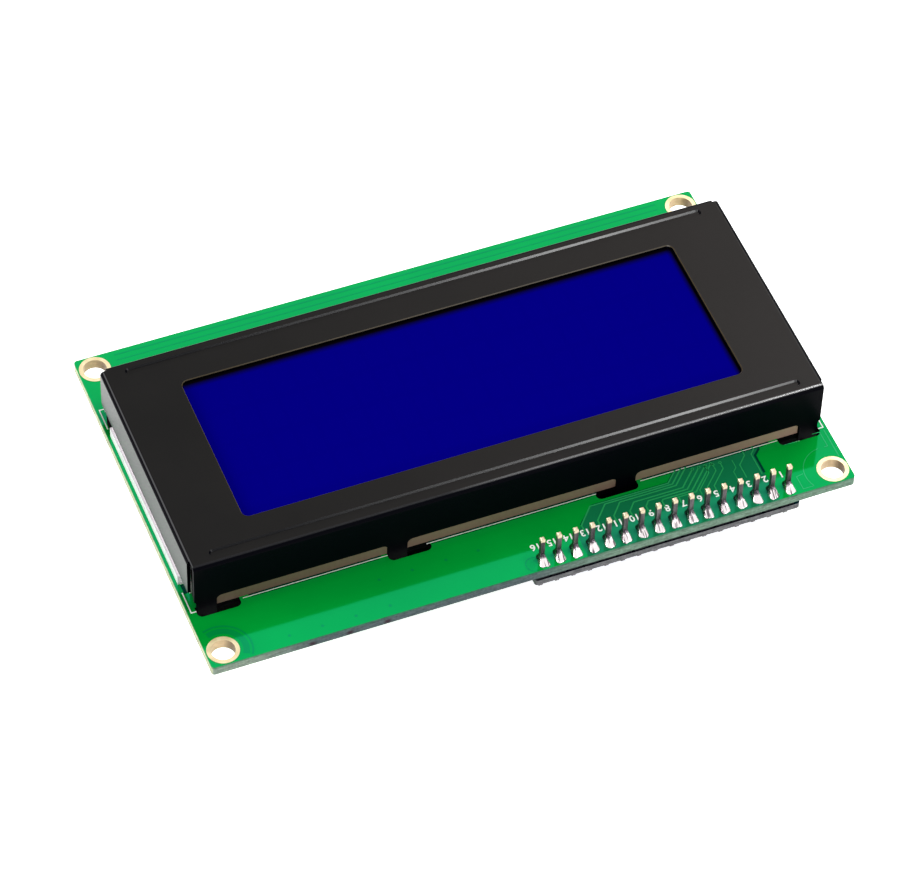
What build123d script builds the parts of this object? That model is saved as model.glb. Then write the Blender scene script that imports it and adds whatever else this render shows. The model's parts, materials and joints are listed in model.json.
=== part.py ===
from build123d import *
import os

# Character display module, twenty by four, with a serial adapter board soldered behind its header.
# X runs to the reader's right, Y up the display and Z out of its face. The origin is at the centre
# of the four mounting holes, on the underside of the display board. Lengths are in millimetres.

# Display board
board_length = 98.0
board_width = 60.0
board_thickness = 1.6
board_corner_radius = 0.5
mount_hole_inset = 2.5
mount_hole_diameter = 3.5
small_hole_sides = 8
mount_land_diameter = 4.7
land_thickness = 0.05
barrel_wall = 0.05

# Bezel, folded from one sheet
bezel_length = 96.6
bezel_width = 39.4
bezel_height = 9.25
bezel_sheet = 0.5
bend_radius = 0.7
wall_end_inset = 0.4
far_wall_end_inset = 1.0
wall_lift = 2.05
wall_notch_radius = 0.9
flap_lift = 2.3
flap_upper_inset = 1.7
flap_lower_inset = 0.7
window_length = 76.3
window_width = 26.5
window_radius = 1.0
window_edge_chamfer = 0.12
groove_length = 89.8
groove_width = 1.2
groove_floor_width = 0.78
groove_depth = 0.3
groove_inset = 1.95
rib_extra_width = 0.5

# Legs of the bezel, and the slots that they pass through
leg_width = 2.9
outer_leg_inset = 0.75
inner_leg_position = 17.5
tab_width = 2.1
tab_length = 1.3
tab_neck = 0.4
tab_twist = 35.0
slot_length = 6.5
slot_width = 1.9
slot_clearance = 0.1
slot_end_clearance = 0.2
slot_outer_radius = 0.8

# Glass cell and the strips that connect it
glass_thickness = 1.1
glass_end_clearance = 0.5
glass_side_clearance = 0.4
contact_ledge = 2.5
polarizer_thickness = 0.2
front_polarizer_margin = 1.9
elastomer_thickness = 2.35
elastomer_clearance = 0.1
elastomer_end_clearance = 0.5

# Backlight
housing_side_clearance = 0.25
housing_end_clearance = 0.3
housing_wall = 1.2
housing_floor = 0.8
lip_reach = 0.7
lip_length = 31.7
lip_offset = -1.35
lip_clearance = 0.1
guide_clearance = 0.15
reflector_thickness = 0.1
diffuser_thickness = 0.4
led_count = 4
led_pitch = 6.5
led_length = 3.0
led_height = 1.4
led_depth = 1.5
led_gap = 0.3
led_strip_thickness = 0.8
led_strip_height = 3.6
led_strip_margin = 1.5
lead_diameter = 0.7
lead_clearance = 0.05
lead_hole_diameter = 1.0
lead_spacing = 5.08
lead_tail = 1.2

# Header that joins the two boards
pin_count = 16
pitch = 2.54
pin_side = 0.64
pin_tip_chamfer = 0.15
first_pin_inset = 9.9
pin_row_inset = 2.0
pin_hole_diameter = 1.0
pad_width = 1.65
pad_length = 3.6
small_land_width = 1.5
insulator_height = 2.1
insulator_width = 2.5
insulator_notch = 0.4
pin_above_board = 4.6
pin_below_adapter = 1.0
solder_edge = 0.05
solder_neck = 0.17
front_solder_height = 1.5
solder_waist_height = 0.5
solder_waist_width = 1.2
solder_waist_length = 2.0
rear_solder_height = 0.8
tail_solder_height = 0.6

# Adapter board
adapter_length = 41.2
adapter_width = 19.0
adapter_thickness = 1.0
adapter_first_pin_margin = 2.0
adapter_edge_margin = 0.9
adapter_corner_radius = 0.5

# Chip on the adapter, in its small-outline package
chip_length = 10.3
chip_width = 7.5
chip_height = 2.3
chip_standoff = 0.15
chip_draft = 7.0
chip_from_left = 17.2
chip_from_bottom = 7.2
chip_lead_count = 8
chip_lead_pitch = 1.27
chip_lead_width = 0.42
chip_lead_thickness = 0.25
chip_lead_span = 10.3
chip_foot_length = 0.8
dimple_diameter = 1.2
dimple_depth = 0.1
dimple_inset = 1.3

# Contrast trimmer on the adapter
trimmer_side = 6.8
trimmer_height = 4.6
trimmer_corner_radius = 0.5
trimmer_foot_side = 1.2
trimmer_foot_height = 0.3
trimmer_from_right = 9.6
trimmer_from_bottom = 8.2
rotor_diameter = 3.4
rotor_height = 1.6
rotor_proud = 0.2
rotor_flange_reach = 0.4
rotor_flange_height = 0.6
rotor_clearance = 0.06
rotor_slot_width = 0.6
rotor_slot_length = 2.6
rotor_slot_depth = 0.7
trimmer_pin_diameter = 0.6
trimmer_hole_diameter = 0.9
trimmer_pin_spacing = 2.5

# Right-angle headers on the adapter
bus_pin_count = 4
bus_from_bottom = 8.4
jumper_pin_count = 2
jumper_from_bottom = 12.2
angled_insulator_side = 2.5
angled_pin_reach = 6.0
angled_tail_distance = 1.3
angled_bend_radius = 0.5
tail_length = 0.9

# Jumper cap on the shorter header
cap_width = 5.0
cap_height = 2.4
cap_wall = 0.45
cap_seat_gap = 0.1
cap_tip_gap = 0.15
cap_edge_chamfer = 0.2
grip_length = 1.2
grip_depth = 0.2
clip_sheet = 0.2
clip_clearance = 0.05
clip_side_gap = 0.3

# Small surface-mounted parts
small_part_length = 2.0
small_part_width = 1.25
small_part_height = 0.5
small_part_end = 0.4
small_part_pitch = 3.2
underside_part_count = 6
underside_row_x = 24.0
underside_row_y = 14.0
pull_up_count = 3
pull_up_from_left = 8.0
pull_up_from_bottom = 14.6
lamp_from_left = 3.2
lamp_from_bottom = 2.6
transistor_length = 2.9
transistor_width = 1.3
transistor_height = 1.0
transistor_draft = 7.0
transistor_lead_width = 0.4
transistor_lead_reach = 0.55
transistor_lead_thickness = 0.15
transistor_lead_spacing = 1.9
transistor_from_right = 17.0
transistor_from_bottom = 3.0

# Sealed chips on the underside of the display board
blob_count = 3
blob_sides = 24
blob_diameter = 15.0
blob_height = 1.4
blob_rim = 0.3
blob_crown_diameter = 6.0
blob_spacing = 29.0
blob_below_centre = 3.0

# Heights that follow from the sizes above
board_top = board_thickness
bezel_top = board_top + bezel_height
bezel_inner_top = bezel_top - bezel_sheet
wall_bottom = board_top + wall_lift
flap_bottom = board_top + flap_lift
front_glass_top = bezel_inner_top - groove_depth
front_glass_bottom = front_glass_top - glass_thickness
rear_glass_bottom = front_glass_bottom - glass_thickness
diffuser_top = rear_glass_bottom - polarizer_thickness
guide_top = diffuser_top - diffuser_thickness
housing_floor_top = board_top + housing_floor
guide_bottom = housing_floor_top + reflector_thickness
insulator_bottom = -insulator_height
adapter_top = insulator_bottom
adapter_bottom = adapter_top - adapter_thickness

# Places that follow from the sizes above
mount_spacing_x = board_length - 2 * mount_hole_inset
mount_spacing_y = board_width - 2 * mount_hole_inset
inner_wall_y = bezel_width / 2 - bezel_sheet
inner_flap_x = bezel_length / 2 - bezel_sheet
wall_half_length = bezel_length / 2 - wall_end_inset
far_wall_half_length = bezel_length / 2 - far_wall_end_inset
flap_upper_end = bezel_width / 2 - flap_upper_inset
flap_lower_end = -bezel_width / 2 + flap_lower_inset
groove_y = bezel_width / 2 - groove_inset
outer_leg_position = bezel_length / 2 - outer_leg_inset - leg_width / 2
leg_positions = [-outer_leg_position, -inner_leg_position, inner_leg_position, outer_leg_position]
leg_y = bezel_width / 2 - bezel_sheet / 2
slot_y = inner_wall_y - slot_clearance + slot_width / 2
slot_shift = leg_width / 2 + slot_end_clearance - slot_length / 2
slot_positions = [x + slot_shift if x > 0 else x - slot_shift for x in leg_positions]
elastomer_outer_y = inner_wall_y - elastomer_clearance
elastomer_inner_y = elastomer_outer_y - elastomer_thickness
elastomer_half_length = inner_flap_x - elastomer_end_clearance
glass_half_length = inner_flap_x - glass_end_clearance
front_glass_half_width = inner_wall_y - glass_side_clearance
rear_glass_half_width = front_glass_half_width - contact_ledge
housing_half_length = inner_flap_x - housing_end_clearance
housing_half_width = elastomer_inner_y - housing_side_clearance
cavity_half_length = housing_half_length - housing_wall
cavity_half_width = housing_half_width - housing_wall
led_strip_x = cavity_half_length - led_strip_thickness / 2
led_x = cavity_half_length - led_strip_thickness - led_depth / 2
led_z = housing_floor_top + led_strip_height / 2
guide_right = cavity_half_length - led_strip_thickness - led_depth - led_gap
guide_left = -cavity_half_length + guide_clearance
first_pin_x = -board_length / 2 + first_pin_inset
pin_row_y = board_width / 2 - pin_row_inset
neck_side = pin_side + 2 * solder_neck
header_places = [(first_pin_x + index * pitch, pin_row_y) for index in range(pin_count)]
lead_places = [(led_strip_x, -lead_spacing / 2), (led_strip_x, lead_spacing / 2)]
adapter_left = first_pin_x - adapter_first_pin_margin
adapter_right = adapter_left + adapter_length
adapter_upper = pin_row_y + adapter_edge_margin
adapter_lower = adapter_upper - adapter_width
adapter_centre = ((adapter_left + adapter_right) / 2, (adapter_lower + adapter_upper) / 2)
chip_x = adapter_left + chip_from_left
chip_y = adapter_lower + chip_from_bottom
trimmer_x = adapter_right - trimmer_from_right
trimmer_y = adapter_lower + trimmer_from_bottom
trimmer_pin_places = [
    (trimmer_x - trimmer_pin_spacing, trimmer_y),
    (trimmer_x, trimmer_y + trimmer_pin_spacing),
    (trimmer_x + trimmer_pin_spacing, trimmer_y),
]
tail_inset = angled_insulator_side + angled_tail_distance
angled_pin_z = adapter_bottom - angled_insulator_side / 2
bus_y = adapter_lower + bus_from_bottom
jumper_y = adapter_lower + jumper_from_bottom


def small_hole(diameter):
    """A drilled hole for one lead, kept to a few flat sides because so many of them repeat."""
    RegularPolygon(diameter / 2, small_hole_sides, major_radius=False, mode=Mode.SUBTRACT)


def row_along_y(centre, count):
    """Places of the pins of a right-angle header, along its board edge."""
    return [centre + (index - (count - 1) / 2) * pitch for index in range(count)]


bus_tail_places = [(adapter_left + tail_inset, y) for y in row_along_y(bus_y, bus_pin_count)]
jumper_tail_places = [(adapter_right - tail_inset, y) for y in row_along_y(jumper_y, jumper_pin_count)]

os.makedirs("parts", exist_ok=True)


def finish(builder, label):
    """Name a finished piece and write it to its own file."""
    builder.part.label = label
    export_step(builder.part, f"parts/{label}.step")


# The display board, with its plated holes and the slots for the bezel's legs
with BuildPart() as display_board:
    with BuildSketch():
        RectangleRounded(board_length, board_width, board_corner_radius)
        with GridLocations(mount_spacing_x, mount_spacing_y, 2, 2):
            Circle(mount_hole_diameter / 2 + barrel_wall, mode=Mode.SUBTRACT)
        with Locations(*header_places):
            small_hole(pin_hole_diameter)
        with Locations(*lead_places):
            small_hole(lead_hole_diameter)
    extrude(amount=board_thickness)
    with BuildSketch() as leg_slots:
        with Locations(*[(x, slot_y) for x in slot_positions]):
            Rectangle(slot_length, slot_width)
        fillet(leg_slots.vertices().group_by(Axis.Y)[-1], slot_outer_radius)
        mirror(about=Plane.XZ)
    extrude(amount=board_thickness, mode=Mode.SUBTRACT)
finish(display_board, "display_board")

with BuildPart() as mounting_hole_lands:
    with BuildSketch(Plane.XY.offset(-land_thickness)):
        with GridLocations(mount_spacing_x, mount_spacing_y, 2, 2):
            Circle(mount_land_diameter / 2)
            Circle(mount_hole_diameter / 2, mode=Mode.SUBTRACT)
    extrude(amount=land_thickness)
    with BuildSketch():
        with GridLocations(mount_spacing_x, mount_spacing_y, 2, 2):
            Circle(mount_hole_diameter / 2 + barrel_wall)
            Circle(mount_hole_diameter / 2, mode=Mode.SUBTRACT)
    extrude(amount=board_thickness)
    with BuildSketch(Plane.XY.offset(board_top)):
        with GridLocations(mount_spacing_x, mount_spacing_y, 2, 2):
            Circle(mount_land_diameter / 2)
            Circle(mount_hole_diameter / 2, mode=Mode.SUBTRACT)
    extrude(amount=land_thickness)
finish(mounting_hole_lands, "mounting_hole_lands")


def pressed_channel(width, floor_width):
    """A long shape with sloping sides and round ends, from its mouth at Z = 0 down to the groove's depth."""
    half_run = (groove_length - groove_width) / 2
    with BuildPart() as channel:
        with BuildSketch(Plane.YZ):
            with BuildLine():
                Polyline(
                    (-width / 2, 0), (width / 2, 0),
                    (floor_width / 2, -groove_depth), (-floor_width / 2, -groove_depth),
                    close=True,
                )
            make_face()
        extrude(amount=half_run, both=True)
        with Locations((-half_run, 0, -groove_depth), (half_run, 0, -groove_depth)):
            Cone(
                floor_width / 2, width / 2, groove_depth,
                align=(Align.CENTER, Align.CENTER, Align.MIN),
            )
    return channel.part


# The bezel is drawn as one sheet with bent edges, then cut to its legs, flaps and window
with BuildPart() as bezel:
    with BuildSketch():
        Rectangle(bezel_length, bezel_width)
    extrude(amount=bezel_top)
    fillet(bezel.faces().sort_by(Axis.Z)[-1].edges(), bend_radius)
    offset(amount=-bezel_sheet, openings=bezel.faces().sort_by(Axis.Z)[0])
    # Between the legs the long walls end above the board
    with BuildSketch(Plane.XZ) as wall_gaps:
        leg_edges = [x + side * leg_width / 2 for x in leg_positions for side in (-1, 1)]
        gap_ends = [-bezel_length] + leg_edges + [bezel_length]
        for start, end in zip(gap_ends[0::2], gap_ends[1::2]):
            with Locations(((start + end) / 2, wall_bottom / 2)):
                Rectangle(end - start, wall_bottom)
        fillet(wall_gaps.vertices().group_by(Axis.Y)[-1], wall_notch_radius)
    extrude(amount=bezel_width, both=True, mode=Mode.SUBTRACT)
    # The end flaps are shorter than the walls
    with BuildSketch(Plane.YZ):
        with Locations((0, flap_bottom / 2)):
            Rectangle(2 * inner_wall_y, flap_bottom)
    extrude(amount=bezel_length, both=True, mode=Mode.SUBTRACT)
    # The corners stay open
    with BuildSketch():
        for side in (-1, 1):
            with Locations((side * wall_half_length, flap_upper_end)):
                Rectangle(
                    bezel_length, bezel_width,
                    align=(Align.MIN if side > 0 else Align.MAX, Align.MIN),
                )
            with Locations((side * far_wall_half_length, flap_lower_end)):
                Rectangle(
                    bezel_length, bezel_width,
                    align=(Align.MIN if side > 0 else Align.MAX, Align.MAX),
                )
    extrude(amount=bezel_top, mode=Mode.SUBTRACT)
    with BuildSketch():
        for side in (-1, 1):
            inner_corner = side * (inner_flap_x - slot_clearance)
            for end, stop in ((flap_upper_end, inner_wall_y), (flap_lower_end, -inner_wall_y)):
                with Locations((inner_corner, (end + stop) / 2)):
                    Rectangle(
                        bezel_sheet, abs(stop - end),
                        align=(Align.MIN if side > 0 else Align.MAX, Align.CENTER),
                    )
    extrude(amount=bezel_top - bend_radius, mode=Mode.SUBTRACT)
    # The window, with its sheared edge softened
    with BuildSketch(Plane.XY.offset(bezel_inner_top)):
        RectangleRounded(window_length, window_width, window_radius)
    extrude(amount=bezel_sheet, mode=Mode.SUBTRACT)
    inner_loop = bezel.faces().sort_by(Axis.Z)[-1].inner_wires()
    chamfer(inner_loop.edges(), window_edge_chamfer)
    # Pressed grooves, which stand out inside as ribs that hold the glass down
    with Locations((0, groove_y, bezel_inner_top), (0, -groove_y, bezel_inner_top)):
        add(pressed_channel(groove_width + rib_extra_width, groove_floor_width + rib_extra_width))
    with Locations((0, groove_y, bezel_top), (0, -groove_y, bezel_top)):
        add(pressed_channel(groove_width, groove_floor_width), mode=Mode.SUBTRACT)
    # Each leg ends in a tab under the board, with its end twisted to hold
    tab_places = [(x, y) for y in (-leg_y, leg_y) for x in leg_positions]
    with BuildSketch():
        with Locations(*tab_places):
            Rectangle(tab_width, bezel_sheet)
    extrude(amount=-tab_neck)
    with BuildSketch(Plane.XY.offset(-tab_neck)):
        with Locations(*tab_places):
            Rectangle(tab_width, bezel_sheet, rotation=tab_twist)
    extrude(amount=tab_neck - tab_length)
finish(bezel, "bezel")

# The glass cell
with BuildPart() as front_glass:
    with BuildSketch(Plane.XY.offset(front_glass_bottom)):
        Rectangle(2 * glass_half_length, 2 * front_glass_half_width)
    extrude(amount=glass_thickness)
finish(front_glass, "front_glass")

with BuildPart() as rear_glass:
    with BuildSketch(Plane.XY.offset(rear_glass_bottom)):
        Rectangle(2 * glass_half_length, 2 * rear_glass_half_width)
    extrude(amount=glass_thickness)
finish(rear_glass, "rear_glass")

with BuildPart() as front_polarizer:
    with BuildSketch(Plane.XY.offset(front_glass_top)):
        Rectangle(
            window_length + 2 * front_polarizer_margin,
            window_width + 2 * front_polarizer_margin,
        )
    extrude(amount=polarizer_thickness)
finish(front_polarizer, "front_polarizer")

with BuildPart() as rear_polarizer:
    with BuildSketch(Plane.XY.offset(diffuser_top)):
        Rectangle(
            2 * (cavity_half_length - guide_clearance),
            2 * (cavity_half_width - guide_clearance),
        )
    extrude(amount=polarizer_thickness)
finish(rear_polarizer, "rear_polarizer")

# Striped rubber strips carry the signals from the board up to the ledges of the front glass
elastomer_y = (elastomer_outer_y + elastomer_inner_y) / 2
for label, y in (("upper_contact_strip", elastomer_y), ("lower_contact_strip", -elastomer_y)):
    with BuildPart() as contact_strip:
        with BuildSketch(Plane.XY.offset(board_top)):
            with Locations((0, y)):
                Rectangle(2 * elastomer_half_length, elastomer_thickness)
        extrude(amount=front_glass_bottom - board_top)
    finish(contact_strip, label)

# The backlight is a white tray with a clear guide, lit from its right end
with BuildPart() as backlight_housing:
    with BuildSketch(Plane.XY.offset(board_top)):
        Rectangle(2 * housing_half_length, 2 * housing_half_width)
    extrude(amount=rear_glass_bottom - board_top)
    with BuildSketch(Plane.XY.offset(board_top)):
        with Locations((0, lip_offset)):
            with GridLocations(2 * housing_half_length + lip_reach, lip_length, 2, 1):
                Rectangle(lip_reach, lip_length)
    extrude(amount=flap_lift - lip_clearance)
    with BuildSketch(Plane.XY.offset(housing_floor_top)):
        Rectangle(2 * cavity_half_length, 2 * cavity_half_width)
    extrude(amount=rear_glass_bottom - housing_floor_top, mode=Mode.SUBTRACT)
    with BuildSketch(Plane.XY.offset(board_top)):
        with Locations(*lead_places):
            Circle(lead_diameter / 2 + lead_clearance)
    extrude(amount=housing_floor, mode=Mode.SUBTRACT)
finish(backlight_housing, "backlight_housing")

guide_centre = ((guide_left + guide_right) / 2, 0)
guide_size = (guide_right - guide_left, 2 * (cavity_half_width - guide_clearance))
with BuildPart() as reflector_film:
    with BuildSketch(Plane.XY.offset(housing_floor_top)):
        with Locations(guide_centre):
            Rectangle(*guide_size)
    extrude(amount=reflector_thickness)
finish(reflector_film, "reflector_film")

with BuildPart() as light_guide:
    with BuildSketch(Plane.XY.offset(guide_bottom)):
        with Locations(guide_centre):
            Rectangle(*guide_size)
    extrude(amount=guide_top - guide_bottom)
finish(light_guide, "light_guide")

with BuildPart() as diffuser_film:
    with BuildSketch(Plane.XY.offset(guide_top)):
        Rectangle(
            2 * (cavity_half_length - guide_clearance),
            2 * (cavity_half_width - guide_clearance),
        )
    extrude(amount=diffuser_thickness)
finish(diffuser_film, "diffuser_film")

with BuildPart() as led_strip:
    with BuildSketch(Plane.XY.offset(housing_floor_top)):
        with Locations((led_strip_x, 0)):
            Rectangle(led_strip_thickness, (led_count - 1) * led_pitch + led_length + 2 * led_strip_margin)
    extrude(amount=led_strip_height)
finish(led_strip, "led_strip")

with BuildPart() as backlight_leds:
    with BuildSketch(Plane.XY.offset(led_z - led_height / 2)):
        with Locations((led_x, 0)):
            with GridLocations(led_depth, led_pitch, 1, led_count):
                Rectangle(led_depth, led_length)
    extrude(amount=led_height)
finish(backlight_leds, "backlight_leds")

with BuildPart() as backlight_leads:
    with BuildSketch(Plane.XY.offset(-lead_tail)):
        with Locations(*lead_places):
            Circle(lead_diameter / 2)
    extrude(amount=housing_floor_top + lead_tail)
finish(backlight_leads, "backlight_leads")


def joint_outline(widths, heights):
    """Side view of a solder joint, as its width at each height above its board's face."""
    right = [(width / 2, height) for width, height in zip(widths, heights)]
    left = [(-x, height) for x, height in reversed(right)]
    with BuildSketch(Plane.XY) as outline:
        with BuildLine():
            Polyline(*right, *left, close=True)
        make_face()
    return outline.sketch


def solder_joints(places, widths_x, widths_y, heights, lead_section):
    """The joints of one row: each has a wide foot on its land and draws in to its lead."""
    with BuildPart() as joint:
        with BuildSketch(Plane.XZ):
            add(joint_outline(widths_x, heights))
        extrude(amount=max(widths_y), both=True)
        with BuildSketch(Plane.YZ):
            add(joint_outline(widths_y, heights))
        extrude(amount=max(widths_x), both=True, mode=Mode.INTERSECT)
        with BuildSketch(Plane.XY.offset(heights[0])):
            lead_section()
        extrude(amount=heights[-1] - heights[0], mode=Mode.SUBTRACT)
    with BuildPart() as solder:
        with Locations(*places):
            add(joint.part)
    return solder


def small_joints(places, face_z, height, lead_section):
    """Joints on small round lands; a negative height hangs below the face."""
    widths = (small_land_width, neck_side)
    return solder_joints(places, widths, widths, (face_z, face_z + height), lead_section)


def square_pin_section():
    """Section of a square header pin."""
    Rectangle(pin_side, pin_side)


def lead_section():
    """Section of a round lead of the backlight."""
    Circle(lead_diameter / 2)


def trimmer_pin_section():
    """Section of a round pin of the trimmer."""
    Circle(trimmer_pin_diameter / 2)


backlight_solder = small_joints(lead_places, 0, -tail_solder_height, lead_section)
finish(backlight_solder, "backlight_solder")

# Chips sealed under black resin on the underside
with BuildPart() as resin_blob:
    with BuildSketch():
        RegularPolygon(blob_diameter / 2, blob_sides)
    extrude(amount=-blob_height)
    crown = resin_blob.faces().sort_by(Axis.Z)[0]
    slope_run = (blob_diameter - blob_crown_diameter) / 2
    chamfer(crown.edges(), length=slope_run, length2=blob_height - blob_rim, reference=crown)

with BuildPart() as sealed_chips:
    with Locations((0, -blob_below_centre)):
        with GridLocations(blob_spacing, blob_spacing, blob_count, 1):
            add(resin_blob.part)
finish(sealed_chips, "sealed_chips")

# The header: a black strip between the boards, its pins and their solder
with BuildPart() as header_insulator:
    with BuildSketch(Plane.XY.offset(insulator_bottom)):
        for place in header_places:
            with BuildSketch(mode=Mode.PRIVATE) as unit:
                Rectangle(pitch, insulator_width)
                chamfer(unit.vertices(), insulator_notch)
            with Locations(place):
                add(unit.sketch)
        with Locations(*header_places):
            Rectangle(pin_side, pin_side, mode=Mode.SUBTRACT)
    extrude(amount=insulator_height)
finish(header_insulator, "header_insulator")

pin_bottom = adapter_bottom - pin_below_adapter
pin_top = board_top + pin_above_board
with BuildPart() as header_pins:
    with BuildSketch(Plane.XY.offset(pin_bottom)):
        with Locations(*header_places):
            Rectangle(pin_side, pin_side)
    extrude(amount=pin_top - pin_bottom)
    chamfer(header_pins.edges().group_by(Axis.Z)[-1], pin_tip_chamfer)
finish(header_pins, "header_pins")


# On the display side each joint covers its long pad and draws up its pin
header_front_solder = solder_joints(
    header_places,
    (pad_width - 2 * solder_edge, solder_waist_width, neck_side),
    (pad_length - 2 * solder_edge, solder_waist_length, neck_side),
    (board_top, board_top + solder_waist_height, board_top + front_solder_height),
    square_pin_section,
)
finish(header_front_solder, "header_front_solder")

header_rear_solder = small_joints(
    header_places, adapter_bottom, -rear_solder_height, square_pin_section
)
finish(header_rear_solder, "header_rear_solder")

# The adapter board, with holes for the header, the two angled headers and the trimmer
with BuildPart() as adapter_board:
    with BuildSketch(Plane.XY.offset(adapter_bottom)):
        with Locations(adapter_centre):
            RectangleRounded(adapter_length, adapter_width, adapter_corner_radius)
        with Locations(*header_places, *bus_tail_places, *jumper_tail_places):
            small_hole(pin_hole_diameter)
        with Locations(*trimmer_pin_places):
            small_hole(trimmer_hole_diameter)
    extrude(amount=adapter_thickness)
finish(adapter_board, "adapter_board")

# The chip hangs under the adapter on sixteen bent leads
chip_middle_z = adapter_bottom - chip_standoff - chip_height / 2
with BuildPart() as expander_chip:
    for direction in (-1, 1):
        with BuildSketch(Plane.XY.offset(chip_middle_z)):
            with Locations((chip_x, chip_y)):
                Rectangle(chip_length, chip_width)
        extrude(amount=direction * chip_height / 2, taper=chip_draft)
    with BuildSketch(Plane.XY.offset(chip_middle_z - chip_height / 2)):
        with Locations((chip_x + chip_length / 2 - dimple_inset, chip_y + chip_width / 2 - dimple_inset)):
            Circle(dimple_diameter / 2)
    extrude(amount=dimple_depth, mode=Mode.SUBTRACT)
finish(expander_chip, "expander_chip")


def bent_lead_profile(root, root_z, foot_end, foot_length, thickness):
    """Side view of one bent lead, from its root in the body out and up to the board."""
    knee = foot_end - foot_length
    with BuildSketch(Plane.XY) as profile:
        with BuildLine():
            Polyline(
                (root, root_z - thickness / 2),
                (knee + thickness / 2, root_z - thickness / 2),
                (knee + thickness / 2, adapter_bottom - thickness),
                (foot_end, adapter_bottom - thickness),
                (foot_end, adapter_bottom),
                (knee - thickness / 2, adapter_bottom),
                (knee - thickness / 2, root_z + thickness / 2),
                (root, root_z + thickness / 2),
                close=True,
            )
        make_face()
    return profile.sketch


chip_lead_profile = bent_lead_profile(
    chip_width / 2, chip_middle_z, chip_lead_span / 2, chip_foot_length, chip_lead_thickness
)
with BuildPart() as expander_leads:
    for index in range(chip_lead_count):
        lead_x = chip_x + (index - (chip_lead_count - 1) / 2) * chip_lead_pitch
        for direction in (-1, 1):
            side_plane = Plane((lead_x, chip_y, 0), x_dir=(0, direction, 0), z_dir=(direction, 0, 0))
            with BuildSketch(side_plane):
                add(chip_lead_profile)
            extrude(amount=chip_lead_width / 2, both=True)
finish(expander_leads, "expander_leads")

# The contrast trimmer: a box on four feet, and a rotor that its flange keeps in place
trimmer_top_z = adapter_bottom - trimmer_foot_height
trimmer_face_z = trimmer_top_z - trimmer_height
rotor_face_z = trimmer_face_z - rotor_proud
rotor_back_z = rotor_face_z + rotor_height
with BuildPart() as trimmer_housing:
    with BuildSketch(Plane.XY.offset(trimmer_face_z)):
        with Locations((trimmer_x, trimmer_y)):
            RectangleRounded(trimmer_side, trimmer_side, trimmer_corner_radius)
    extrude(amount=trimmer_height)
    with BuildSketch(Plane.XY.offset(trimmer_top_z)):
        with Locations((trimmer_x, trimmer_y)):
            foot_spacing = trimmer_side - trimmer_foot_side - trimmer_corner_radius
            with GridLocations(foot_spacing, foot_spacing, 2, 2):
                Rectangle(trimmer_foot_side, trimmer_foot_side)
    extrude(amount=trimmer_foot_height)
    with BuildSketch(Plane.XY.offset(trimmer_face_z)):
        with Locations((trimmer_x, trimmer_y)):
            Circle(rotor_diameter / 2 + rotor_clearance)
    extrude(amount=rotor_height - rotor_proud + rotor_clearance, mode=Mode.SUBTRACT)
    with BuildSketch(Plane.XY.offset(rotor_back_z - rotor_flange_height - rotor_clearance)):
        with Locations((trimmer_x, trimmer_y)):
            Circle(rotor_diameter / 2 + rotor_flange_reach + rotor_clearance)
    extrude(amount=rotor_flange_height + 2 * rotor_clearance, mode=Mode.SUBTRACT)
finish(trimmer_housing, "trimmer_housing")

with BuildPart() as trimmer_rotor:
    with BuildSketch(Plane.XY.offset(rotor_face_z)):
        with Locations((trimmer_x, trimmer_y)):
            Circle(rotor_diameter / 2)
    extrude(amount=rotor_height)
    with BuildSketch(Plane.XY.offset(rotor_back_z)):
        with Locations((trimmer_x, trimmer_y)):
            Circle(rotor_diameter / 2 + rotor_flange_reach)
    extrude(amount=-rotor_flange_height)
    with BuildSketch(Plane.XY.offset(rotor_face_z)):
        with Locations((trimmer_x, trimmer_y)):
            Rectangle(rotor_slot_length, rotor_slot_width)
            Rectangle(rotor_slot_width, rotor_slot_length)
    extrude(amount=rotor_slot_depth, mode=Mode.SUBTRACT)
finish(trimmer_rotor, "trimmer_rotor")

with BuildPart() as trimmer_pins:
    with BuildSketch(Plane.XY.offset(trimmer_top_z)):
        with Locations(*trimmer_pin_places):
            Circle(trimmer_pin_diameter / 2)
    extrude(amount=adapter_top + tail_length - trimmer_top_z)
finish(trimmer_pins, "trimmer_pins")

trimmer_solder = small_joints(
    trimmer_pin_places, adapter_top, tail_solder_height, trimmer_pin_section
)
finish(trimmer_solder, "trimmer_solder")


def angled_header(edge_x, inward, rows):
    """Insulator and bent pins of a header that points off one end of the adapter."""
    tail_x = edge_x + inward * tail_inset
    with BuildPart() as insulator:
        with BuildSketch(Plane.XY.offset(adapter_bottom)):
            for y in rows:
                with BuildSketch(mode=Mode.PRIVATE) as unit:
                    Rectangle(angled_insulator_side, pitch)
                    chamfer(unit.vertices(), insulator_notch)
                with Locations((edge_x + inward * angled_insulator_side / 2, y)):
                    add(unit.sketch)
        extrude(amount=-angled_insulator_side)
        with BuildSketch(Plane.YZ.offset(edge_x)):
            with Locations(*[(y, angled_pin_z) for y in rows]):
                Rectangle(pin_side, pin_side)
        extrude(amount=inward * angled_insulator_side, mode=Mode.SUBTRACT)
    with BuildPart() as pins:
        for y in rows:
            with BuildLine(Plane.XZ.offset(-y)) as route:
                FilletPolyline(
                    (edge_x - inward * angled_pin_reach, angled_pin_z),
                    (tail_x, angled_pin_z),
                    (tail_x, adapter_top + tail_length),
                    radius=angled_bend_radius,
                )
            with BuildSketch(Plane(route.line @ 0, x_dir=(0, 1, 0), z_dir=route.line % 0)):
                Rectangle(pin_side, pin_side)
            sweep(path=route.line)
        chamfer(pins.edges().group_by(Axis.X)[0 if inward > 0 else -1], pin_tip_chamfer)
    return insulator, pins


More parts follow.
